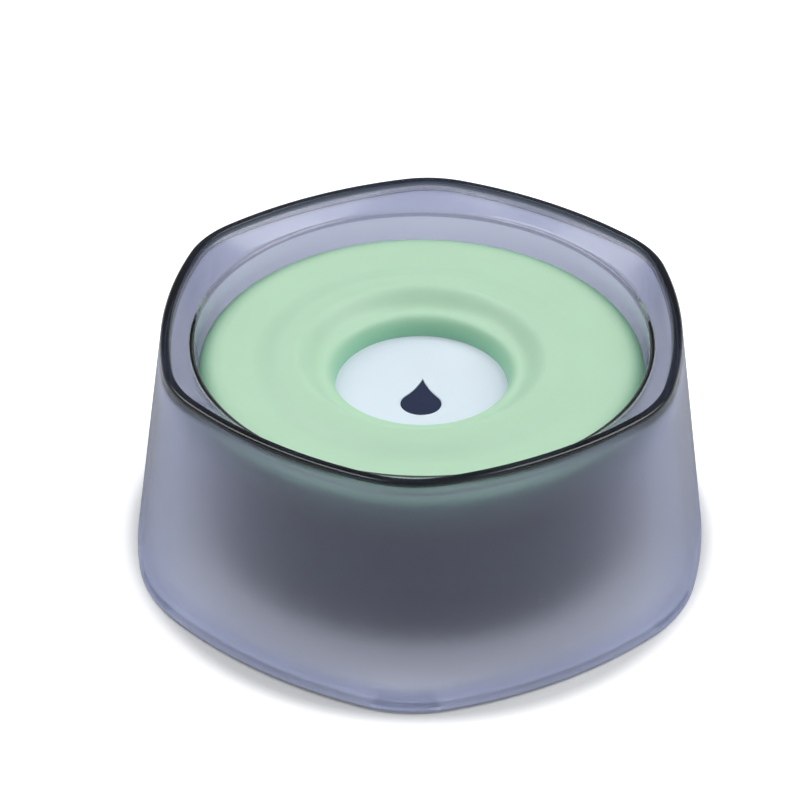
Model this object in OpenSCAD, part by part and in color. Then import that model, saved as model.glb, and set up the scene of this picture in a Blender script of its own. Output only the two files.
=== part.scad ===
/* [Bowl outline] */
// Width of the ledge and rim on the flat sides, from the basin's lip to the outside of the rim
side_ledge_w = 12.1; // [10:0.1:14]
// How far each side leans out from the rim to the bottom edge
side_lean = 14.8; // [10:0.2:20]
// Outside radius of the six corners at the rim
corner_r = 43.2; // [36:0.2:52]
// Radius of the slow outward bow of each side at the rim
side_r = 173.6; // [150:0.2:240]
// Overall height, standing on the pads
bowl_h = 96.4; // [88:0.2:106]
// Wall thickness of the outer skirt
skirt_wall = 2.4; // [1.8:0.1:3]
// Width of the flat band along the rim
rim_w = 3.7; // [3:0.1:4.6]
// Rounding of the band's outer edge
rim_round = 1.3; // [0.8:0.1:1.6]
// How far the band stands above the ledge on its inner side
rim_step = 2.3; // [1.4:0.1:3]

/* [Ledge and basin] */
// Inside diameter of the round basin at its lip
basin_d = 176; // [170:0.2:179]
// How much the basin's radius narrows towards its floor
basin_draft = 0.4; // [0:0.1:0.6]
// Height from the top of the rim down to the basin's lip
lip_drop = 8.1; // [6:0.1:12]
// Rounding of the basin's lip
lip_round = 2; // [1:0.1:2.2]
// Wall thickness of the basin
basin_wall = 2.4; // [2:0.1:3]
// Thickness of the ledge between rim and lip
ledge_t = 2.6; // [2:0.1:3.2]
// Height of the basin's floor above the ground
basin_floor = 5.2; // [4:0.2:14]
// Thickness of the basin's floor
floor_t = 2.4; // [2:0.1:3]
// Radius inside between the basin's wall and floor
basin_fillet = 6; // [4:0.5:9]

/* [Foot ring and pads] */
// Width of the flange turned inwards along the bottom edge
flange_w = 9; // [8:0.2:11]
// Thickness of that flange
flange_t = 2.6; // [2.2:0.1:3.4]
// Radial width of a pad
pad_w = 4.6; // [3.6:0.1:5.4]
// Thickness of a pad
pad_t = 1.8; // [1.4:0.1:2]
// How far a pad stands out below the flange
pad_show = 0.8; // [0.5:0.1:1]
// Length of a pad along its corner
pad_len = 22; // [14:0.5:28]
// Distance from the outer edge of the flange to a pad
pad_inset = 2.2; // [1.8:0.1:2.4]
// Side clearance of a pad in its pocket
pad_gap = 0.15; // [0.1:0.01:0.25]

/* [Float] */
// Radial clearance between the float and the basin at the lip
float_gap = 0.9; // [0.8:0.05:1.5]
// Height of the float's underside above the basin's floor, as the water carries it
float_lift = 46.4; // [24:0.2:48]
// Overall height of the float at its crest
float_h = 27; // [25:0.5:32]
// Wall thickness of the float's two shells
float_wall = 2; // [1.6:0.1:2.4]
// Clearance between the two shells where one fits inside the other
shell_gap = 0.3; // [0.2:0.05:0.5]

/* [Float top] */
// Diameter of the round opening in the top plate
hole_d = 68; // [60:0.5:72]
// Height of the opening's edge above the float's underside
hole_edge_h = 20.2; // [19:0.1:21.5]
// Diameter at the inner side of the crest
crest_in_d = 100; // [92:0.5:102]
// Width of the crest
crest_w = 5; // [3:0.1:7]
// Width of the slope from the crest down to the outer flat
slope_w = 11; // [7:0.5:14]
// How far the outer flat lies below the crest
flat_drop = 2.2; // [1:0.1:3]
// Horizontal reach of the rounded shoulder at the edge
shoulder_w = 10; // [7:0.2:12]
// Vertical reach of the rounded shoulder
shoulder_h = 9; // [7:0.2:10]
// How far the edge of the top plate stops above the float's underside
skirt_rise = 5; // [4:0.2:7]

/* [Float base] */
// Height of the dish's rim above the float's underside
dish_rim_h = 11.5; // [10:0.1:12.5]
// Depth of the dish at its centre, below its rim
dish_depth = 6.3; // [3:0.1:7]
// Height of the outer wall above the float's underside
pan_wall_h = 11; // [9:0.1:12]
// Rounding under the outer edge of the pan
pan_round = 4; // [2:0.2:5]
// Thickness of the sealing ring
seal_t = 1.6; // [1.2:0.1:2]
// Width of the drop-shaped water hole
drop_w = 16.2; // [12:0.2:20]
// Length of the drop-shaped water hole
drop_l = 24.2; // [18:0.2:30]
// Radius of the hole's two hollow sides beside its tip
drop_side_r = 40; // [25:1:120]

/* [Hidden] */
$fn = 96;

// Outline: six corner arcs and six side arcs that run into each other without a kink.
// An outline at any height is this one with d added to both radii.
corner_steps = 10;
side_steps = 8;
basin_r = basin_d / 2;
rim_flats = basin_d + 2 * side_ledge_w;
side_back = side_r - rim_flats / 2;
corner_d = -side_back * cos(30)
  + sqrt(pow(side_r - corner_r, 2) - side_back * side_back / 4);
side_half = atan2(corner_d / 2, corner_d * cos(30) + side_back);
corner_half = 30 - side_half;
function polar(r, a) = [r * cos(a), r * sin(a)];
function corner_pt(k, j, d) =
  polar(corner_d, 60 * k + 90)
  + polar(corner_r + d, 60 * k + 90 - corner_half + 2 * corner_half * j / corner_steps);
function side_pt(k, j, d) =
  polar(-side_back, 60 * k + 120)
  + polar(side_r + d, 60 * k + 120 - side_half + 2 * side_half * j / side_steps);
function outline(d) = [
  for (k = [0 : 5])
    for (j = [0 : corner_steps + side_steps - 1])
      j < corner_steps ? corner_pt(k, j, d) : side_pt(k, j - corner_steps, d)
];
function lift(pts, z) = [for (p = pts) [p[0], p[1], z]];
// The same directions as the outline's points, but on a circle.
function round_ring(r, z) = [for (p = outline(0)) concat(p * r / norm(p), z)];
function hex_ring(d, z) = lift(outline(d), z);

// A closed band through rings of equally many points, joined last to first.
module band(rings) {
  m = len(rings);
  n = len(rings[0]);
  polyhedron(
    points = [for (r = rings) for (p = r) p],
    faces = [
      for (i = [0 : m - 1])
        for (j = [0 : n - 1])
          for (t = [0, 1])
            t == 0
              ? [i * n + j, ((i + 1) % m) * n + j, i * n + (j + 1) % n]
              : [((i + 1) % m) * n + j, ((i + 1) % m) * n + (j + 1) % n, i * n + (j + 1) % n]
    ],
    convexity = 8
  );
}

// Bowl heights and radii
rim_z = bowl_h - rim_round;
rim_in_round = 0.6;
lip_z = bowl_h - lip_drop;
basin_low_r = basin_r - basin_draft;
basin_out_r = basin_r + basin_wall;
seam_r = basin_r + basin_wall / 2;
function lean_at(z) = side_lean * (1 - (z - pad_show) / (rim_z - pad_show));
flange_top = pad_show + flange_t;
flange_blend = 1;
ledge_sink = 0.2;
ledge_root = 0.7;
ledge_out_z = bowl_h - rim_step;
ledge_under_z = ledge_out_z - ledge_t - ledge_root;
edge_round = 0.8;
edge_z = pad_show + edge_round;

module skirt_and_ledge() {
  band(concat(
    [for (t = [0 : 45 : 90])
      hex_ring(lean_at(edge_z) - edge_round * (1 - sin(t)), edge_z - edge_round * cos(t))],
    [for (t = [0 : 22.5 : 90]) hex_ring(rim_round * (cos(t) - 1), rim_z + rim_round * sin(t))],
    [for (t = [90 : 45 : 180])
      hex_ring(-rim_w + rim_in_round * (1 + cos(t)), bowl_h - rim_in_round * (1 - sin(t)))],
    [hex_ring(-rim_w, ledge_out_z)],
    [round_ring(basin_r + lip_round - ledge_sink / 2, lip_z - ledge_sink)],
    [round_ring(seam_r, lip_z - ledge_t - ledge_root)],
    [hex_ring(lean_at(ledge_under_z) - skirt_wall, ledge_under_z)],
    [hex_ring(lean_at(flange_top + flange_blend) - skirt_wall, flange_top + flange_blend)],
    [hex_ring(lean_at(flange_top) - skirt_wall - flange_blend, flange_top)],
    [hex_ring(side_lean - flange_w, flange_top)],
    [hex_ring(side_lean - flange_w, pad_show)]
  ));
}

module basin_shell() {
  rotate_extrude() polygon(concat(
    [[0, basin_floor]],
    [for (t = [0 : 15 : 90])
      [basin_low_r - basin_fillet + basin_fillet * sin(t),
       basin_floor + basin_fillet - basin_fillet * cos(t)]],
    [for (t = [180 : -15 : 90])
      [basin_r + lip_round + lip_round * cos(t), lip_z - lip_round + lip_round * sin(t)]],
    [[basin_out_r, lip_z]],
    [for (t = [90 : -15 : 0])
      [basin_low_r - basin_fillet + (basin_fillet + basin_wall) * sin(t),
       basin_floor + basin_fillet - (basin_fillet + floor_t) * cos(t)]],
    [[0, basin_floor - floor_t]]
  ));
}

// Pads follow their corner, so pad and pocket are parts of rings round the corner's centre.
pad_out_r = corner_r + side_lean - pad_inset;
degrees_per_mm = 180 / PI / (pad_out_r - pad_w / 2);
module pad_at(k, grow, z0, z1) {
  half = degrees_per_mm * (pad_len / 2 + grow);
  rotate([0, 0, 60 * k + 90]) translate([corner_d, 0, 0])
    rotate([0, 0, -half])
      rotate_extrude(angle = 2 * half)
        translate([pad_out_r - pad_w - grow, z0])
          square([pad_w + 2 * grow, z1 - z0]);
}

module bowl() {
  color([0.58, 0.6, 0.68, 0.55]) difference() {
    union() {
      skirt_and_ledge();
      basin_shell();
    }
    for (k = [0 : 5]) pad_at(k, pad_gap, -1, pad_t);
  }
}

module foot(k) {
  color("dimgray") pad_at(k, 0, 0, pad_t);
}

// Float heights and radii
float_z = basin_floor + float_lift;
float_r = basin_r - float_gap;
crest_z = float_z + float_h;
flat_z = crest_z - flat_drop;
flat_out_r = float_r - shoulder_w;
hole_r = hole_d / 2;
crest_in_r = crest_in_d / 2;
crest_out_r = crest_in_r + crest_w;
hole_edge_z = float_z + hole_edge_h;
dish_rim_z = float_z + dish_rim_h;
hole_round = 1.6;
skirt_chamfer = 0.6;
corner_fill = 2.4;
pan_r = float_r - float_wall - shell_gap;
pan_in_r = pan_r - float_wall;
pan_top_z = float_z + pan_wall_h;
seal_top_z = pan_top_z + seal_t;

// A smooth step from one level to the next, as points from radius r0 to r1.
function ease(r0, z0, r1, z1, n) = [
  for (i = [0 : n]) [r0 + (r1 - r0) * i / n, z0 + (z1 - z0) * (1 - cos(180 * i / n)) / 2]
];
// The rippled face from the opening's edge out to the shoulder, shifted down by t.
function face_line(t) = concat(
  ease(hole_r + hole_round, hole_edge_z - t, crest_in_r, crest_z - t, 8),
  ease(crest_out_r, crest_z - t, crest_out_r + slope_w, flat_z - t, 6)
);
function flip(pts) = [for (i = [len(pts) - 1 : -1 : 0]) pts[i]];

module float_top() {
  color([0.72, 0.87, 0.76]) rotate_extrude() polygon(concat(
    [[hole_r, dish_rim_z]],
    [for (t = [180 : -22.5 : 112.5])
      [hole_r + hole_round + hole_round * cos(t), hole_edge_z - hole_round + hole_round * sin(t)]],
    face_line(0),
    [for (t = [90 : -11.25 : 0])
      [flat_out_r + shoulder_w * cos(t), flat_z - shoulder_h + shoulder_h * sin(t)]],
    [[float_r, float_z + skirt_rise + skirt_chamfer]],
    [[float_r - skirt_chamfer, float_z + skirt_rise]],
    [[float_r - float_wall, float_z + skirt_rise]],
    [[float_r - float_wall, seal_top_z]],
    [[pan_in_r - shell_gap, seal_top_z]],
    [[pan_in_r - shell_gap, flat_z - float_wall - corner_fill]],
    [[flat_out_r, flat_z - float_wall]],
    flip(face_line(float_wall)),
    [[hole_r + float_wall, hole_edge_z - float_wall - hole_round]],
    [[hole_r + float_wall, dish_rim_z]]
  ));
}

seal_inset = 0.3;
module float_seal() {
  color("gainsboro") rotate_extrude() polygon([
    [pan_in_r + seal_inset, pan_top_z],
    [pan_r - seal_inset, pan_top_z],
    [pan_r - seal_inset, seal_top_z],
    [pan_in_r + seal_inset, seal_top_z]
  ]);
}

// The dish, its flat rim under the top plate's collar, the locating ring, and the pan round it.
ring_r = hole_r + float_wall + shell_gap;
ring_wall = 1.6;
ring_rise = 3;
ring_chamfer = 0.4;
ring_foot = 1.5;
ring_out_r = ring_r + ring_wall;
recess_r = ring_out_r - float_wall;
recess_chamfer = 0.8;
function dish_line(t) = [
  for (i = [0 : 8]) [hole_r * i / 8, dish_rim_z - t - dish_depth * (1 - i * i / 64)]
];

// The drop: a round end, and two hollow side arcs that leave it without a kink and meet in the tip.
drop_r = drop_w / 2;
drop_tip_y = drop_l / 2;
drop_reach = drop_l - drop_r;
side_rise = (pow(drop_side_r + drop_r, 2) - pow(drop_side_r, 2) - pow(drop_reach, 2))
  / (2 * drop_reach);
side_x = sqrt(pow(drop_side_r, 2) - pow(side_rise, 2));
tip_angle = atan2(side_rise, side_x);
join_angle = atan2(side_rise + drop_reach, side_x);
function drop_side(t) =
  [side_x - drop_side_r * cos(t), drop_tip_y + side_rise - drop_side_r * sin(t)];
function mirrored(pts) = [for (p = flip(pts)) [-p[0], p[1]]];
function drop_outline() = let(
  half = [for (i = [1 : 6]) drop_side(tip_angle + (join_angle - tip_angle) * i / 6)],
  round_end = [for (i = [1 : 15])
    polar(drop_r, join_angle - (180 + 2 * join_angle) * i / 16) + [0, drop_tip_y - drop_reach]]
) concat([[0, drop_tip_y]], half, round_end, mirrored(half));

module float_base() {
  color([0.9, 0.94, 0.98]) difference() {
    rotate_extrude() polygon(concat(
      dish_line(0),
      [[ring_r, dish_rim_z]],
      [[ring_r, dish_rim_z + ring_rise - ring_chamfer]],
      [[ring_r + ring_chamfer, dish_rim_z + ring_rise]],
      [[ring_out_r, dish_rim_z + ring_rise]],
      [[ring_out_r, float_z + float_wall + ring_foot]],
      [[ring_out_r + ring_foot, float_z + float_wall]],
      [for (t = [0 : 22.5 : 90])
        [pan_r - pan_round + (pan_round - float_wall) * sin(t),
         float_z + pan_round - (pan_round - float_wall) * cos(t)]],
      [[pan_in_r, pan_top_z]],
      [[pan_r, pan_top_z]],
      [for (t = [90 : -15 : 0])
        [pan_r - pan_round + pan_round * sin(t), float_z + pan_round - pan_round * cos(t)]],
      [[recess_r + recess_chamfer, float_z]],
      [[recess_r, float_z + recess_chamfer]],
      [[recess_r, dish_rim_z - float_wall]],
      flip(dish_line(float_wall))
    ));
    translate([0, 0, float_z]) linear_extrude(dish_rim_h) polygon(drop_outline());
  }
}

bowl();
float_top();
float_seal();
float_base();
foot(0);  // foot_1
foot(1);  // foot_2
foot(2);  // foot_3
foot(3);  // foot_4
foot(4);  // foot_5
foot(5);  // foot_6
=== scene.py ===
import math

import bmesh
import bpy
from mathutils import Matrix, Vector


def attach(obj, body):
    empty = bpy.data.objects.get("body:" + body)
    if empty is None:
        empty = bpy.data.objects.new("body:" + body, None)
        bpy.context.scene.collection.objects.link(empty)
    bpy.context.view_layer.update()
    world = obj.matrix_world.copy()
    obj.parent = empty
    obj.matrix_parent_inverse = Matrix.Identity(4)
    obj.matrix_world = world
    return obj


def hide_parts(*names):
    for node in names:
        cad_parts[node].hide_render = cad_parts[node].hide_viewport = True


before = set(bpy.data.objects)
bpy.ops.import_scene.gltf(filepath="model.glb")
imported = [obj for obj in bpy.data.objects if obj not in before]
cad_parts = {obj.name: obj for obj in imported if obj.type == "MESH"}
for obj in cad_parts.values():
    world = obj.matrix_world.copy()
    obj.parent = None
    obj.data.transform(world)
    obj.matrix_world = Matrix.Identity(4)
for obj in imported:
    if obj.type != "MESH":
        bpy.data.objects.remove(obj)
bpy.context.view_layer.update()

mm = 0.001  # every size below is in millimetres, and Blender works in metres


# Colours and nodes

def colour(hexCode, alpha=1.0):  # sRGB hex to linear
    parts = [int(hexCode[i:i + 2], 16) / 255 for i in (1, 3, 5)]
    return tuple(c / 12.92 if c <= 0.04045 else ((c + 0.055) / 1.055) ** 2.4 for c in parts) + (alpha,)


def addNode(tree, kind, inputs=None, **settings):
    node = tree.nodes.new(kind)
    for name, value in settings.items():
        setattr(node, name, value)
    for key, value in (inputs or {}).items():
        if isinstance(value, bpy.types.NodeSocket):
            tree.links.new(value, node.inputs[key])
        else:
            node.inputs[key].default_value = value
    return node


def newMaterial(name):
    material = bpy.data.materials.new(name)
    material.use_nodes = True
    material.node_tree.nodes.clear()
    return material, material.node_tree


# Fine even grain that a textured mould leaves, as bump
def mouldedSurface(tree, place, grainMm, depth, strength):
    grain = addNode(tree, "ShaderNodeTexNoise", {
        "Vector": place, "Scale": 1 / (grainMm * mm), "Detail": 2.0, "Roughness": 0.5})
    return addNode(tree, "ShaderNodeBump", {
        "Height": grain.outputs["Fac"], "Strength": strength, "Distance": depth * mm})


# Colour that drifts slowly over the surface, as pigment does in a moulding
def softMottle(tree, place, base, patchMm, change):
    patch = addNode(tree, "ShaderNodeTexNoise", {
        "Vector": place, "Scale": 1 / (patchMm * mm), "Detail": 3.0, "Roughness": 0.55})
    level = addNode(tree, "ShaderNodeMapRange", {
        "Value": patch.outputs["Fac"], "From Min": 0.3, "From Max": 0.7,
        "To Min": 1 - change, "To Max": 1 + change})
    return addNode(tree, "ShaderNodeHueSaturation", {
        "Color": base, "Value": level.outputs["Result"]}).outputs["Color"]


# Pale green polypropylene from a lightly blasted mould: soft sheen, no sharp reflections
# It lets a little light through. Its collar in the hole and its edge by the bowl's wall are painted a darker, richer
# green: painted shade.
def satinPolypropylene():
    material, tree = newMaterial("satinPolypropylene")
    place = addNode(tree, "ShaderNodeTexCoord").outputs["Object"]
    bump = mouldedSurface(tree, place, grainMm=0.9, depth=0.012, strength=0.35)
    sheenPatch = addNode(tree, "ShaderNodeTexNoise", {"Vector": place, "Scale": 1 / (14 * mm), "Detail": 2.0})
    rough = addNode(tree, "ShaderNodeMapRange", {
        "Value": sheenPatch.outputs["Fac"], "To Min": 0.40, "To Max": 0.48})
    paintedShade = addNode(tree, "ShaderNodeAttribute", attribute_name="paintedShade").outputs["Fac"]
    green = addNode(tree, "ShaderNodeMix", {
        "Factor": paintedShade, 6: colour("#badec1"), 7: colour("#8fd2ad")}, data_type="RGBA").outputs[2]
    shader = addNode(tree, "ShaderNodeBsdfPrincipled", {
        "Base Color": softMottle(tree, place, green, patchMm=30, change=0.012),
        "Roughness": rough.outputs["Result"], "IOR": 1.49, "Normal": bump.outputs["Normal"],
        "Subsurface Weight": 0.12, "Subsurface Radius": (0.6, 1.0, 0.7), "Subsurface Scale": 1.2 * mm})
    addNode(tree, "ShaderNodeOutputMaterial", {"Surface": shader.outputs["BSDF"]})
    return material


# Cool white ABS from a polished mould: smooth, with a soft broad highlight
def polishedWhiteAbs():
    material, tree = newMaterial("polishedWhiteAbs")
    place = addNode(tree, "ShaderNodeTexCoord").outputs["Object"]
    bump = mouldedSurface(tree, place, grainMm=1.2, depth=0.006, strength=0.25)
    sheenPatch = addNode(tree, "ShaderNodeTexNoise", {"Vector": place, "Scale": 1 / (10 * mm), "Detail": 2.0})
    rough = addNode(tree, "ShaderNodeMapRange", {
        "Value": sheenPatch.outputs["Fac"], "To Min": 0.28, "To Max": 0.36})
    shader = addNode(tree, "ShaderNodeBsdfPrincipled", {
        "Base Color": softMottle(tree, place, colour("#e2ecf8"), patchMm=24, change=0.006),
        "Roughness": rough.outputs["Result"], "IOR": 1.53, "Normal": bump.outputs["Normal"]})
    addNode(tree, "ShaderNodeOutputMaterial", {"Surface": shader.outputs["BSDF"]})
    return material


smoke = {
    "tint": "#dcdce1",  # what each polished surface takes out
    "frostTint": "#c1c7dd",  # what a frosted one takes out
    "rimPaintedShade": "#0b0f19",  # painted shade: the rim band is painted near black, for the dark where the eye looks down the height of the wall
    "basinPaintedShade": "#56607e",  # painted shade: the basin below the float is painted darker, where the float shades it
    "absorb": "#8289a6",  # what the thickness takes out, darker the thicker it is
    "perMetre": 40.0,
    "polished": 0.04,
    "frosted": 0.42,
    "frostVaries": 0.03,
    "etchStrength": 0.3,
    "ior": 1.5,
}


# Smoke-tinted clear styrene copolymer: polished inside and on the rim, etched matt outside.
# The eye sees light grey where it is one wall thick. Along the rim the long path down the wall darkens it, and painted
# shade makes it near black. The attribute frost on the mesh says where each finish is; the attribute rim and the
# basin's attribute say where shade is painted. Past 1, frost adds roughness but no tint:
# it is coarser towards the foot, and 2 is the ground-down underside.
def smokedStyrene():
    material, tree = newMaterial("smokedStyrene")
    place = addNode(tree, "ShaderNodeTexCoord").outputs["Object"]
    frost, rim, basinShade = (addNode(tree, "ShaderNodeAttribute", attribute_name=name).outputs["Fac"]
                        for name in ("frost", "rim", "basinShade"))
    patch = addNode(tree, "ShaderNodeTexNoise", {"Vector": place, "Scale": 1 / (6 * mm), "Detail": 3.0})
    frostedRough = addNode(tree, "ShaderNodeMapRange", {
        "Value": patch.outputs["Fac"], "To Min": smoke["frosted"] - smoke["frostVaries"],
        "To Max": smoke["frosted"] + smoke["frostVaries"]})
    rough = addNode(tree, "ShaderNodeMix", {
        "Factor": frost, "A": smoke["polished"], "B": frostedRough.outputs["Result"]}, clamp_factor=False)
    outer = addNode(tree, "ShaderNodeMix", {
        "Factor": frost, 6: colour(smoke["tint"]), 7: colour(smoke["frostTint"])}, data_type="RGBA")
    # painted shade: the basin below the float is painted darker, and the rim band near black
    basinShaded = addNode(tree, "ShaderNodeMix", {
        "Factor": basinShade, 6: outer.outputs[2], 7: colour(smoke["basinPaintedShade"])}, data_type="RGBA")
    tint = addNode(tree, "ShaderNodeMix", {
        "Factor": rim, 6: basinShaded.outputs[2], 7: colour(smoke["rimPaintedShade"])}, data_type="RGBA")
    grain = mouldedSurface(tree, place, grainMm=0.8, depth=0.01, strength=smoke["etchStrength"])
    etched = addNode(tree, "ShaderNodeMath", {0: frost, 1: smoke["etchStrength"]}, operation="MULTIPLY")
    tree.links.new(etched.outputs[0], grain.inputs["Strength"])
    shader = addNode(tree, "ShaderNodeBsdfPrincipled", {
        "Base Color": tint.outputs[2], "Roughness": rough.outputs["Result"], "IOR": smoke["ior"],
        "Transmission Weight": 1.0, "Normal": grain.outputs["Normal"]})
    volume = addNode(tree, "ShaderNodeVolumeAbsorption", {
        "Color": colour(smoke["absorb"]), "Density": smoke["perMetre"]})
    addNode(tree, "ShaderNodeOutputMaterial", {
        "Surface": shader.outputs["BSDF"], "Volume": volume.outputs["Volume"]})
    return material


# Silicone rubber: matt, a little soft to the light, with no hard highlight
def mouldedSilicone(name, hexCode, rough, clear):
    material, tree = newMaterial(name)
    place = addNode(tree, "ShaderNodeTexCoord").outputs["Object"]
    bump = mouldedSurface(tree, place, grainMm=0.7, depth=0.02, strength=0.4)
    shader = addNode(tree, "ShaderNodeBsdfPrincipled", {
        "Base Color": softMottle(tree, place, colour(hexCode), patchMm=8, change=0.04),
        "Roughness": rough, "IOR": 1.41, "Transmission Weight": clear, "Normal": bump.outputs["Normal"]})
    addNode(tree, "ShaderNodeOutputMaterial", {"Surface": shader.outputs["BSDF"]})
    return material


# Mesh helpers

# A loop of vertices at the given places. A capped one is filled up to its middle.
def startRing(bm, places, capped=False):
    made = bmesh.ops.create_circle(bm, cap_ends=capped, cap_tris=capped, segments=len(places), radius=1.0)
    rim = [v for v in made["verts"] if abs(v.co.length - 1) < 1e-4]
    middle = [v for v in made["verts"] if v not in rim]
    for vert, place in zip(rim, places):
        vert.co = Vector(place) * mm
    for vert in middle:
        vert.co = Vector((0, 0, places[0][2])) * mm
    return rim


# Extrudes a loop and puts its new vertices at the given places.
def growRing(bm, ring, places):
    index = {vert: i for i, vert in enumerate(ring)}
    edges = [e for v in ring for e in v.link_edges if e.other_vert(v) in index and
             (index[e.other_vert(v)] - index[v]) % len(ring) == 1]
    made = bmesh.ops.extrude_edge_only(bm, edges=edges)
    fresh = [None] * len(ring)
    for vert in (g for g in made["geom"] if isinstance(g, bmesh.types.BMVert)):
        old = next(e.other_vert(vert) for e in vert.link_edges if e.other_vert(vert) in index)
        fresh[index[old]] = vert
    for vert, place in zip(fresh, places):
        vert.co = Vector(place) * mm
    return fresh


def ringEdges(ring):
    kept = set(ring)
    return [e for e in {e for v in ring for e in v.link_edges} if all(v in kept for v in e.verts)]


def openEdges(bm):
    return sum(1 for e in bm.edges if len(e.link_faces) != 2)


def finishPiece(bm, name, body, material, nodes, sharp=40):
    bmesh.ops.remove_doubles(bm, verts=bm.verts, dist=1e-7)
    bmesh.ops.recalc_face_normals(bm, faces=bm.faces)
    mesh = bpy.data.meshes.new(name)
    bm.to_mesh(mesh)
    bm.free()
    mesh.materials.append(material)
    mesh.shade_smooth()
    mesh.set_sharp_from_angle(angle=math.radians(sharp))
    piece = bpy.data.objects.new(name, mesh)
    bpy.context.scene.collection.objects.link(piece)
    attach(piece, body)
    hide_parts(*nodes)
    return piece


# A smooth step from one level to the next
def ease(r0, z0, r1, z1, steps):
    return [(r0 + (r1 - r0) * i / steps, z0 + (z1 - z0) * (1 - math.cos(math.pi * i / steps)) / 2)
            for i in range(steps + 1)]


def arc(centreR, centreZ, reachR, reachZ, fromDeg, toDeg, steps):
    span = [math.radians(fromDeg + (toDeg - fromDeg) * i / steps) for i in range(steps + 1)]
    return [(centreR + reachR * math.cos(t), centreZ + reachZ * math.sin(t)) for t in span]


# The bowl

bowl = {
    "rimFlats": 200.2, "sideLean": 14.8, "cornerR": 43.2, "sideR": 173.6, "height": 96.4,
    "rimW": 3.7, "rimRound": 1.3, "rimInRound": 0.6, "rimStep": 2.3,
    "skirtWall": 2.4, "basinR": 88, "draft": 0.4, "lipDrop": 8.1, "lipRound": 2.0,
    "basinWall": 2.4, "ledge": 2.6, "ledgeRoot": 0.7, "floorZ": 5.2, "floorT": 2.4, "fillet": 6,
    "flangeW": 9, "flangeT": 2.6, "flangeRound": 1.2, "edgeRound": 0.8, "padShow": 0.8,
    "cornerSteps": 18, "sideSteps": 16,
    "padW": 4.6, "padInset": 2.2, "padT": 1.8, "padHalf": 11.6,
    "basinShadeTopZ": 64, "basinShadeBlend": 12,  # painted shade: the basin's wall is painted darker below this height, which the float hides, as the float shades it
    # painted shade on the lip, on the rim's inner step and on the top of the skirt
    "lipPaintedShade": 0.55, "stepPaintedShade": 0.95, "skirtTopPaintedShade": 0.3,
    "ledgeFrost": 0.45, "roofFrost": 0.5, "footFrost": 1.7, "groundFrost": 2,
}


# For each point of the six-sided outline: its arc's centre, its direction and its radius at the rim
def outlineSpots():
    b = bowl
    back = b["sideR"] - b["rimFlats"] / 2
    corner = -back * math.cos(math.pi / 6) + math.sqrt((b["sideR"] - b["cornerR"]) ** 2 - back * back / 4)
    half = math.atan2(corner / 2, corner * math.cos(math.pi / 6) + back)
    spots = []
    for k in range(6):
        for steps, middle, turn, reach, radius in (
                (b["cornerSteps"], 90 + 60 * k, math.pi / 6 - half, corner, b["cornerR"]),
                (b["sideSteps"], 120 + 60 * k, half, -back, b["sideR"])):
            mid = math.radians(middle)
            centre = Vector((reach * math.cos(mid), reach * math.sin(mid)))
            for j in range(steps):
                a = mid - turn + 2 * turn * j / steps
                spots.append((centre, Vector((math.cos(a), math.sin(a))), radius))
    return spots


# Pockets for the pads, pushed up into the flange at the six corners. Gives the number of faces pushed.
def sinkPockets(bm):
    b = bowl
    pocket = []
    for face in bm.faces:
        if all(abs(v.co.z - b["padShow"] * mm) < 1e-7 for v in face.verts):
            c = face.calc_center_median() / mm
            gap = min(abs((math.degrees(math.atan2(c.y, c.x)) - 90 - 60 * k + 180) % 360 - 180) for k in range(6))
            tangent = math.hypot(c.x, c.y) * math.sin(math.radians(gap))
            width = max((v.co - w.co).length for v in face.verts for w in face.verts) / mm
            if tangent < b["padHalf"] and width > b["padW"] - 0.2:
                pocket.append(face)
    lifted = bmesh.ops.extrude_face_region(bm, geom=pocket)
    liftedVerts = [g for g in lifted["geom"] if isinstance(g, bmesh.types.BMVert)]
    bmesh.ops.translate(bm, verts=liftedVerts, vec=(0, 0, (b["padT"] - b["padShow"]) * mm))
    bmesh.ops.delete(bm, geom=pocket, context="FACES")
    return len(pocket)


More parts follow.
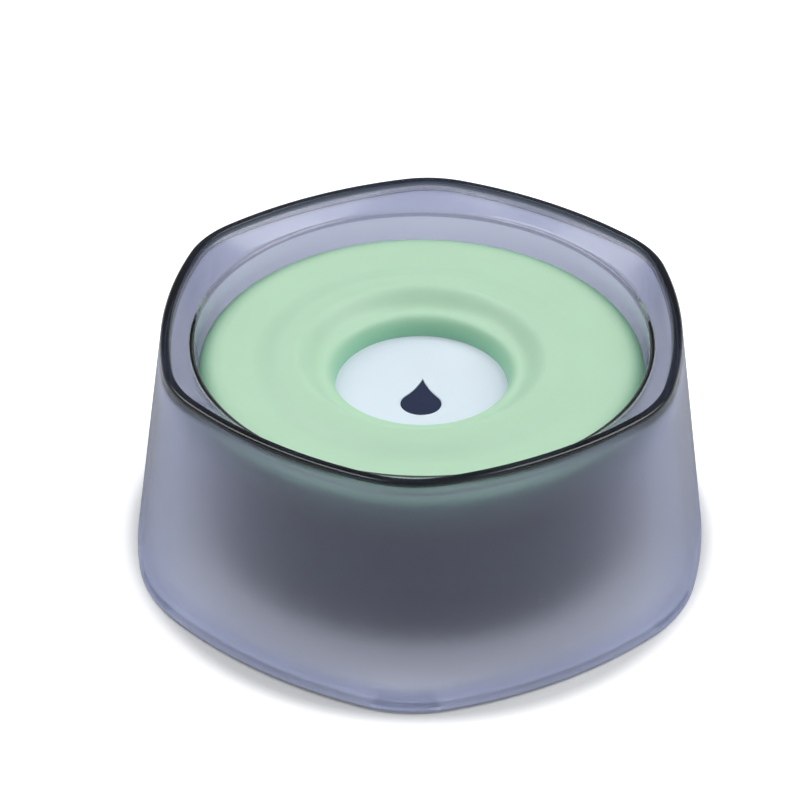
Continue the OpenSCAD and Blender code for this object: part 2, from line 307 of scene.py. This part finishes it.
# One closed surface, ring by ring: basin inside, lip, ledge, rim, skirt, flange, and back up the channel
def makeBowl(material):
    b = bowl
    spots = outlineSpots()
    rimDirections = [(c + d * r).normalized() for c, d, r in spots]
    rimZ = b["height"] - b["rimRound"]
    lipZ = b["height"] - b["lipDrop"]
    lowR = b["basinR"] - b["draft"]
    outR = b["basinR"] + b["basinWall"]
    flangeTop = b["padShow"] + b["flangeT"]
    wallLow, wallHigh = b["floorZ"] + b["fillet"], lipZ - b["lipRound"]

    def hexRing(grow, z):
        return [(c.x + d.x * (r + grow), c.y + d.y * (r + grow), z) for c, d, r in spots]

    def roundRing(radius, z):
        return [(d.x * radius, d.y * radius, z) for d in rimDirections]

    def between(start, end, share):
        return [tuple(Vector(p).lerp(Vector(q), share)) for p, q in zip(start, end)]

    def leanAt(z):
        return b["sideLean"] * (1 - (z - b["padShow"]) / (rimZ - b["padShow"]))

    def basinShadeAt(z):
        return min(1.0, max(0.0, (b["basinShadeTopZ"] + b["basinShadeBlend"] / 2 - z) / b["basinShadeBlend"]))

    path = []

    def add(places, frost=0.0, rim=0.0, basinShade=0.0):
        path.append((places, frost, rim, basinShade))

    # basin, painted darker as painted shade under the float
    for r in (24, 40, 56, 70):
        add(roundRing(r, b["floorZ"]), basinShade=1)
    for r, z in arc(lowR - b["fillet"], wallLow, b["fillet"], b["fillet"], -90, 0, 8):
        add(roundRing(r, z), basinShade=1)
    for i in range(1, 12):
        z = wallLow + (wallHigh - wallLow) * i / 12
        add(roundRing(lowR + b["draft"] * i / 12, z), basinShade=basinShadeAt(z))
    # lip and ledge
    lipR, rimStepZ, rimInR = b["basinR"] + b["lipRound"], b["height"] - b["rimStep"], b["rimInRound"]
    # painted shade darkens the middle of the lip's curve
    for i, (r, z) in enumerate(arc(lipR, wallHigh, b["lipRound"], b["lipRound"], 180, 100, 10)):
        add(roundRing(r, z), rim=b["lipPaintedShade"] if 1 < i < 8 else 0.0)
    inner, outer = roundRing(lipR, lipZ), hexRing(-b["rimW"] - 0.4, rimStepZ - 0.3)
    add(inner)
    for i in range(1, 9):
        add(between(inner, outer, i / 8), frost=b["ledgeFrost"])
    # flat band along the rim, painted near black with its inner step: painted shade
    add(hexRing(-b["rimW"], rimStepZ + 0.1), rim=b["stepPaintedShade"])
    add(hexRing(-b["rimW"], b["height"] - rimInR - 0.5), rim=1)
    for grow, z in (arc(-b["rimW"] + rimInR, b["height"] - rimInR, rimInR, rimInR, 180, 90, 5)
                    + arc(-b["rimRound"], rimZ, b["rimRound"], b["rimRound"], 90, 0, 8)):
        add(hexRing(grow, z), rim=1)
    # skirt
    low, skirtTop = b["padShow"] + b["edgeRound"], rimZ - 0.3
    # painted shade darkens the top of the skirt just under the rim
    add(hexRing(leanAt(skirtTop), skirtTop), frost=1, rim=b["skirtTopPaintedShade"])
    add(hexRing(leanAt(skirtTop - 0.5), skirtTop - 0.5), frost=1)
    for i in range(1, 11):
        z = skirtTop + (low - skirtTop) * i / 10
        add(hexRing(leanAt(z), z), frost=1 + (b["footFrost"] - 1) * (i / 10) ** 3)
    for grow, z in arc(leanAt(low) - b["edgeRound"], low, b["edgeRound"], b["edgeRound"], 0, -90, 5)[1:]:
        add(hexRing(grow, z), frost=b["footFrost"])
    # underside of the flange, with the rings that bound the pads' pockets
    padOut = b["sideLean"] - b["padInset"] + 0.15
    flangeIn = b["sideLean"] - b["flangeW"]
    for grow in (padOut, padOut - b["padW"] - 0.3, flangeIn + 0.3):
        add(hexRing(grow, b["padShow"]), frost=b["groundFrost"])
    add(hexRing(flangeIn, b["padShow"] + 0.3))
    add(hexRing(flangeIn, flangeTop - 0.3))
    add(hexRing(flangeIn + 0.3, flangeTop))
    # channel between skirt and basin
    turnIn = flangeTop + b["flangeRound"]
    for grow, z in arc(leanAt(turnIn) - b["skirtWall"] - b["flangeRound"], turnIn,
                       b["flangeRound"], b["flangeRound"], -90, 0, 4):
        add(hexRing(grow, z))
    underZ = rimStepZ - b["ledge"] - b["ledgeRoot"]
    seamZ = lipZ - b["ledge"] - b["ledgeRoot"] + 0.5
    for i in range(1, 9):
        z = turnIn + (underZ - 1.2 - turnIn) * i / 8
        add(hexRing(leanAt(z) - b["skirtWall"], z))
    underGrow = leanAt(underZ) - b["skirtWall"]
    cornerIn, seam = hexRing(underGrow - 1.2, underZ - 0.4), roundRing(outR + 0.9, seamZ + 0.5)
    add(hexRing(underGrow - 0.35, underZ - 0.4), frost=b["roofFrost"])
    for i in range(5):
        add(between(cornerIn, seam, i / 4), frost=b["roofFrost"])
    add(roundRing(outR + 0.25, seamZ), frost=b["roofFrost"])
    add(roundRing(outR, seamZ - 0.8))
    # the basin's outer wall and underside are painted darker too: painted shade
    for i in range(1, 11):
        z = seamZ - 0.8 + (wallLow - seamZ + 0.8) * i / 11
        add(roundRing(outR - b["draft"] * i / 11, z), basinShade=basinShadeAt(z))
    for r, z in arc(lowR - b["fillet"], wallLow, b["fillet"] + b["basinWall"], b["fillet"] + b["floorT"], 0, -90, 8):
        add(roundRing(r, z), basinShade=1)
    under = b["floorZ"] - b["floorT"]
    for r in (60, 40, 20, 6):
        add(roundRing(r, under), basinShade=1)

    bm = bmesh.new()
    layers = [bm.verts.layers.float.new(name) for name in ("frost", "rim", "basinShade")]
    ring = startRing(bm, roundRing(8, b["floorZ"]), capped=True)
    for vert in bm.verts:
        vert[layers[2]] = 1.0
    for places, *finish in path:
        ring = growRing(bm, ring, places)
        for vert in ring:
            for layer, value in zip(layers, finish):
                vert[layer] = value
    last = growRing(bm, ring, [(0, 0, under)] * len(ring))
    for vert in last:
        vert[layers[2]] = 1.0
    bmesh.ops.remove_doubles(bm, verts=last, dist=1e-7)
    print("bowl: pocket faces", sinkPockets(bm), "open edges", openEdges(bm))
    return finishPiece(bm, "bowlShell", "bowl_body", material, ["bowl"], sharp=60)


# The float's green top plate

floatTop = {
    "lowZ": 51.6, "holeR": 34, "edgeUp": 20.2, "collarUp": 11.5, "crestUp": 27, "flatDrop": 2.2,
    "crestIn": 50, "crestOut": 55, "flatIn": 66, "brimIn": 78.5, "brimUp": 26.8, "edgeR": 87.1, "shoulderH": 3.6,
    "skirtUp": 5, "seatUp": 12.6, "seatR": 82.5, "wall": 2, "holeRoundIn": 4.6, "holeRoundDown": 7.2, "turns": 240,
    "shoulderW": 10, "cornerFill": 2.4, "underHoleRound": 1.6, "brimCurve": 1.3,
    "holePaintedShade": 0.7, "edgePaintedShade": 0.85, "edgePaintedShadeFrom": 2,  # painted shade: how much darker the green is painted in the hole and at the edge
}


def makeFloatTop(material):
    f = floatTop
    edgeZ, collarZ, crestZ = (f["lowZ"] + f[name] for name in ("edgeUp", "collarUp", "crestUp"))
    flatZ, skirtZ, seatZ = crestZ - f["flatDrop"], f["lowZ"] + f["skirtUp"], f["lowZ"] + f["seatUp"]
    brimZ, flatOut, holeOut = f["lowZ"] + f["brimUp"], f["edgeR"] - f["shoulderW"], f["holeR"] + f["holeRoundIn"]

    def face(drop, steps):
        return (ease(holeOut, edgeZ - drop, f["crestIn"], crestZ - drop, steps)
                + ease(f["crestOut"], crestZ - drop, f["flatIn"], flatZ - drop, steps))

    profile = [(f["holeR"], collarZ)]
    profile += arc(holeOut, edgeZ - f["holeRoundDown"], f["holeRoundIn"], f["holeRoundDown"], 180, 95, 14)
    profile += face(0, 24)
    # the brim rises a little towards its soft shoulder
    profile += [(f["flatIn"] + (f["brimIn"] - f["flatIn"]) * t, flatZ + (brimZ - flatZ) * t ** f["brimCurve"])
                for t in (i / 8 for i in range(1, 8))]
    profile += arc(f["brimIn"], brimZ - f["shoulderH"], f["edgeR"] - f["brimIn"], f["shoulderH"], 90, 0, 20)
    profile += arc(f["edgeR"] - 0.6, skirtZ + 0.6, 0.6, 0.6, 0, -90, 3)
    profile += [(f["edgeR"] - f["wall"], skirtZ), (f["edgeR"] - f["wall"], seatZ)]
    profile += [(f["seatR"], seatZ), (f["seatR"], flatZ - f["wall"] - f["cornerFill"]),
                (flatOut, flatZ - f["wall"])]
    profile += face(f["wall"], 10)[::-1]
    profile += [(f["holeR"] + f["wall"], edgeZ - f["wall"] - f["underHoleRound"]), (f["holeR"] + f["wall"], collarZ)]
    bm = bmesh.new()
    verts = [bm.verts.new((r * mm, 0, z * mm)) for r, z in profile]
    edges = [bm.edges.new((verts[i], verts[(i + 1) % len(verts)])) for i in range(len(verts))]
    bmesh.ops.spin(bm, geom=verts + edges, cent=(0, 0, 0), axis=(0, 0, 1), dvec=(0, 0, 0),
                   angle=2 * math.pi, steps=f["turns"], use_merge=True)
    # painted shade: the green is painted darker on the hole's collar and on the edge by the bowl's wall, where these
    # lie in shade
    paintedShade = bm.verts.layers.float.new("paintedShade")
    paintedShadeFrom = f["brimIn"] + f["edgePaintedShadeFrom"]
    for vert in bm.verts:
        r = vert.co.xy.length / mm
        if r < holeOut:
            vert[paintedShade] = f["holePaintedShade"] * ((holeOut - r) / f["holeRoundIn"]) ** 2
        elif r > paintedShadeFrom:
            vert[paintedShade] = f["edgePaintedShade"] * min(1.0, (r - paintedShadeFrom) / (f["edgeR"] - paintedShadeFrom))
    print("float top: open edges", openEdges(bm))
    return finishPiece(bm, "floatTopPlate", "float", material, ["float_top"])


# The float's white base with its dish

floatBase = {
    "lowZ": 51.6, "rimUp": 11.5, "depth": 6.3, "dishR": 34, "wall": 2,
    "dropW": 16.2, "dropL": 24.2, "dropSideR": 40, "sidePoints": 46, "endPoints": 108,
    "ringR": 36.3, "ringOutR": 37.9, "ringRise": 3, "ringRound": 0.4, "panR": 84.8, "panUp": 11, "panRound": 4,
    "dropLip": ((0.012, 0.75), (0, 0.5), (0.002, 0.25), (0.01, 0.07), (0.022, 0)),  # share out to the rim, depth
    "dishRings": (0.06, 0.12, 0.2, 0.3, 0.4, 0.5, 0.6, 0.7, 0.8, 0.9, 1.0),
    "underRings": (1.0, 0.75, 0.5, 0.3, 0.18, 0.1),
}


# The drop: a round end, and two hollow side arcs that leave it without a kink and meet in the tip
def dropOutline():
    f = floatBase
    r, side = f["dropW"] / 2, f["dropSideR"]
    tipY, reach = f["dropL"] / 2, f["dropL"] - f["dropW"] / 2
    rise = ((side + r) ** 2 - side ** 2 - reach ** 2) / (2 * reach)
    sideX = math.sqrt(side ** 2 - rise ** 2)
    tip, join = math.atan2(rise, sideX), math.atan2(rise + reach, sideX)
    sideArc = [Vector((sideX - side * math.cos(a), tipY + rise - side * math.sin(a)))
               for a in (tip + (join - tip) * i / f["sidePoints"] for i in range(f["sidePoints"]))]
    turn = math.pi + 2 * join
    end = [Vector((r * math.cos(join - turn * i / f["endPoints"]),
                   tipY - reach + r * math.sin(join - turn * i / f["endPoints"])))
           for i in range(f["endPoints"] + 1)]
    return sideArc + end + [Vector((-p.x, p.y)) for p in sideArc[:0:-1]]


def makeFloatBase(material):
    f = floatBase
    drop = dropOutline()
    dirs = [Vector((math.sin(t), math.cos(t))) for t in (2 * math.pi * i / len(drop) for i in range(len(drop)))]
    rimZ, panTopZ, inner = f["lowZ"] + f["rimUp"], f["lowZ"] + f["panUp"], f["ringOutR"] - f["wall"]

    # a ring of the dish's face, at a share of the way from the drop to the rim, and so far below the face
    def dish(share, lower=0.0):
        places = []
        for d, u in zip(drop, dirs):
            p = d.lerp(u * f["dishR"], share)
            places.append((p.x, p.y, rimZ - lower - f["depth"] * (1 - (p.length / f["dishR"]) ** 2)))
        return places

    def rings(points):
        return [[(u.x * r, u.y * r, z) for u in dirs] for r, z in points]

    bm = bmesh.new()
    first = ring = startRing(bm, dish(f["underRings"][-1], f["wall"]))
    path = [dish(share, lower) for share, lower in f["dropLip"]] + [dish(share) for share in f["dishRings"]]
    pan, panIn = f["panR"] - f["panRound"], f["panRound"] - f["wall"]
    lowMid, lowTop, ringTop = f["lowZ"] + f["panRound"], f["lowZ"] + f["wall"], rimZ + f["ringRise"]
    path += rings([(f["ringR"], rimZ), (f["ringR"], ringTop - f["ringRound"]),
                   (f["ringR"] + f["ringRound"], ringTop), (f["ringOutR"], ringTop),
                   (f["ringOutR"], lowTop + 1.5), (f["ringOutR"] + 1.5, lowTop), (60, lowTop)])
    path += rings(arc(pan, lowMid, panIn, panIn, -90, 0, 6))
    path += rings([(f["panR"] - f["wall"], panTopZ), (f["panR"], panTopZ)])
    path += rings(arc(pan, lowMid, f["panRound"], f["panRound"], 0, -90, 8))
    path += rings([(60, f["lowZ"]), (inner + 0.8, f["lowZ"]), (inner, f["lowZ"] + 0.8), (inner, rimZ - f["wall"])])
    path += [dish(share, f["wall"]) for share in f["underRings"][:-1]]
    for places in path:
        ring = growRing(bm, ring, places)
    bmesh.ops.bridge_loops(bm, edges=ringEdges(ring) + ringEdges(first))
    print("float base: open edges", openEdges(bm))
    return finishPiece(bm, "floatBasePan", "float", material, ["float_base"])


# Camera, at the photograph's angle: where it stands, and which ways the picture's right and top point

view = {
    "place": (27.882, -701.191, 573.644), "lens": 99.0, "sensor": 36,
    "right": (0.99859866, 0.05289950, 0.00153714), "up": (-0.03264825, 0.59293059, 0.80459145),
}


def makeCamera():
    data = bpy.data.cameras.new("photoCamera")
    data.sensor_width = view["sensor"]
    data.lens = view["lens"]
    data.clip_start, data.clip_end = 0.05, 50
    camera = bpy.data.objects.new("photoCamera", data)
    right, up = Vector(view["right"]), Vector(view["up"])
    turn = Matrix((right, up, right.cross(up))).transposed().to_4x4()
    camera.matrix_world = Matrix.Translation(Vector(view["place"]) * mm) @ turn
    bpy.context.scene.collection.objects.link(camera)
    bpy.context.scene.camera = camera


# Studio: a white backdrop low down all round, a dim ceiling, and a softbox to each side

studio = {
    "floorSize": 12.0, "floorColour": "#f0f1f3",
    "shadeAt": (0, -0.005, 0), "shadeLift": 0.06, "seenLift": 0.5, "shadeR": 0.114, "clearR": 0.122,
    # seen through the plastic the paper glows: painted light, with a painted shadow under the basin
    "throughGlowColour": "#f8faff", "throughGlowLevel": 1.5, "basinPaintedShadow": 0.47, "basinR": 0.096, "footR": 0.121,
    "sky": ((0.0, 0.95), (0.2, 0.85), (0.36, 0.24), (0.72, 0.2), (1.0, 0.28)),  # height, brightness
    "skyTint": (0.95, 0.975, 1.0), "aim": (0, 0, 0.05),
    "softboxes": (("left", (-0.8, 0.4, 1.45), 13.0), ("right", (0.95, 0.2, 1.4), 15.5)), "boxSize": 1.1,
}


def makeFloor():
    s = studio
    bm = bmesh.new()
    bmesh.ops.create_grid(bm, x_segments=1, y_segments=1, size=s["floorSize"] / 2)
    mesh = bpy.data.meshes.new("studioFloor")
    bm.to_mesh(mesh)
    bm.free()
    floor = bpy.data.objects.new("studioFloor", mesh)
    bpy.context.scene.collection.objects.link(floor)
    material, tree = newMaterial("paleStudioPaper")
    rays = addNode(tree, "ShaderNodeLightPath")
    paper = addNode(tree, "ShaderNodeBsdfDiffuse", {"Color": colour(s["floorColour"])})
    place = addNode(tree, "ShaderNodeTexCoord").outputs["Object"]
    out = addNode(tree, "ShaderNodeVectorMath", {0: place}, operation="LENGTH").outputs["Value"]
    shade = addNode(tree, "ShaderNodeVectorMath", {0: place, 1: s["shadeAt"]}, operation="DISTANCE").outputs["Value"]
    clear = addNode(tree, "ShaderNodeMapRange", {
        "Value": shade, "From Min": s["shadeR"], "From Max": s["clearR"],
        "To Min": s["shadeLift"], "To Max": s["seenLift"]}, interpolation_type="SMOOTHSTEP")
    lift = addNode(tree, "ShaderNodeMath", {0: rays.outputs["Is Camera Ray"], 1: clear.outputs["Result"]},
                   operation="MULTIPLY")
    glow = addNode(tree, "ShaderNodeEmission", {"Color": (1, 1, 1, 1), "Strength": lift.outputs[0]})
    seen = addNode(tree, "ShaderNodeAddShader", {0: paper.outputs[0], 1: glow.outputs[0]})
    # seen through clear plastic the paper glows instead of taking light: painted light that ignores the bowl's shadow,
    # and a painted shadow where the basin stands above it
    level = addNode(tree, "ShaderNodeMapRange", {
        "Value": out, "From Min": s["basinR"], "From Max": s["footR"],
        "To Min": s["basinPaintedShadow"], "To Max": s["throughGlowLevel"]}, interpolation_type="SMOOTHSTEP")
    throughGlow = addNode(tree, "ShaderNodeEmission", {
        "Color": colour(s["throughGlowColour"]), "Strength": level.outputs["Result"]})
    both = addNode(tree, "ShaderNodeMixShader", {
        0: rays.outputs["Is Transmission Ray"], 1: seen.outputs[0], 2: throughGlow.outputs[0]})
    addNode(tree, "ShaderNodeOutputMaterial", {"Surface": both.outputs[0]})
    mesh.materials.append(material)


def makeSky():
    world = bpy.data.worlds.new("studioWorld")
    bpy.context.scene.world = world
    world.use_nodes = True
    tree = world.node_tree
    tree.nodes.clear()
    direction = addNode(tree, "ShaderNodeTexCoord").outputs["Generated"]
    height = addNode(tree, "ShaderNodeSeparateXYZ", {0: direction}).outputs["Z"]
    ramp = addNode(tree, "ShaderNodeValToRGB", {"Fac": height})
    ramp.color_ramp.interpolation = "EASE"
    stops = ramp.color_ramp.elements
    for i, (at, level) in enumerate(studio["sky"]):
        stop = stops[i] if i < 2 else stops.new(at)
        stop.position = at
        stop.color = (*(level * part for part in studio["skyTint"]), 1)
    rays = addNode(tree, "ShaderNodeLightPath")
    shown = addNode(tree, "ShaderNodeMix", {
        "Factor": rays.outputs["Is Camera Ray"], 6: ramp.outputs["Color"], 7: (1, 1, 1, 1)}, data_type="RGBA")
    sky = addNode(tree, "ShaderNodeBackground", {"Color": shown.outputs[2], "Strength": 1.0})
    addNode(tree, "ShaderNodeOutputWorld", {"Surface": sky.outputs[0]})


def makeSoftboxes():
    for side, place, watts in studio["softboxes"]:
        lamp = bpy.data.lights.new(side + "Softbox", "AREA")
        lamp.shape = "SQUARE"
        lamp.size = studio["boxSize"]
        lamp.energy = watts
        light = bpy.data.objects.new(side + "Softbox", lamp)
        light.location = place
        light.rotation_mode = "QUATERNION"
        light.rotation_quaternion = (Vector(studio["aim"]) - Vector(place)).to_track_quat("-Z", "Y")
        bpy.context.scene.collection.objects.link(light)


makeCamera()
makeFloor()
makeSky()
makeSoftboxes()
print("camera and studio ready")
makeBowl(smokedStyrene())
makeFloatTop(satinPolypropylene())
makeFloatBase(polishedWhiteAbs())
sealRubber = mouldedSilicone("clearSealSilicone", "#d9dcdd", 0.45, 0.3)
padRubber = mouldedSilicone("smokePadSilicone", "#dde0e8", 0.6, 0.96)
for nodeName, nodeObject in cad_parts.items():
    rubber = {"float_seal": sealRubber}.get(nodeName, padRubber if nodeName.startswith("foot") else None)
    if rubber:
        nodeObject.data.materials.clear()
        nodeObject.data.materials.append(rubber)
print("pieces ready")

bpy.context.scene.view_settings.view_transform = "Standard"
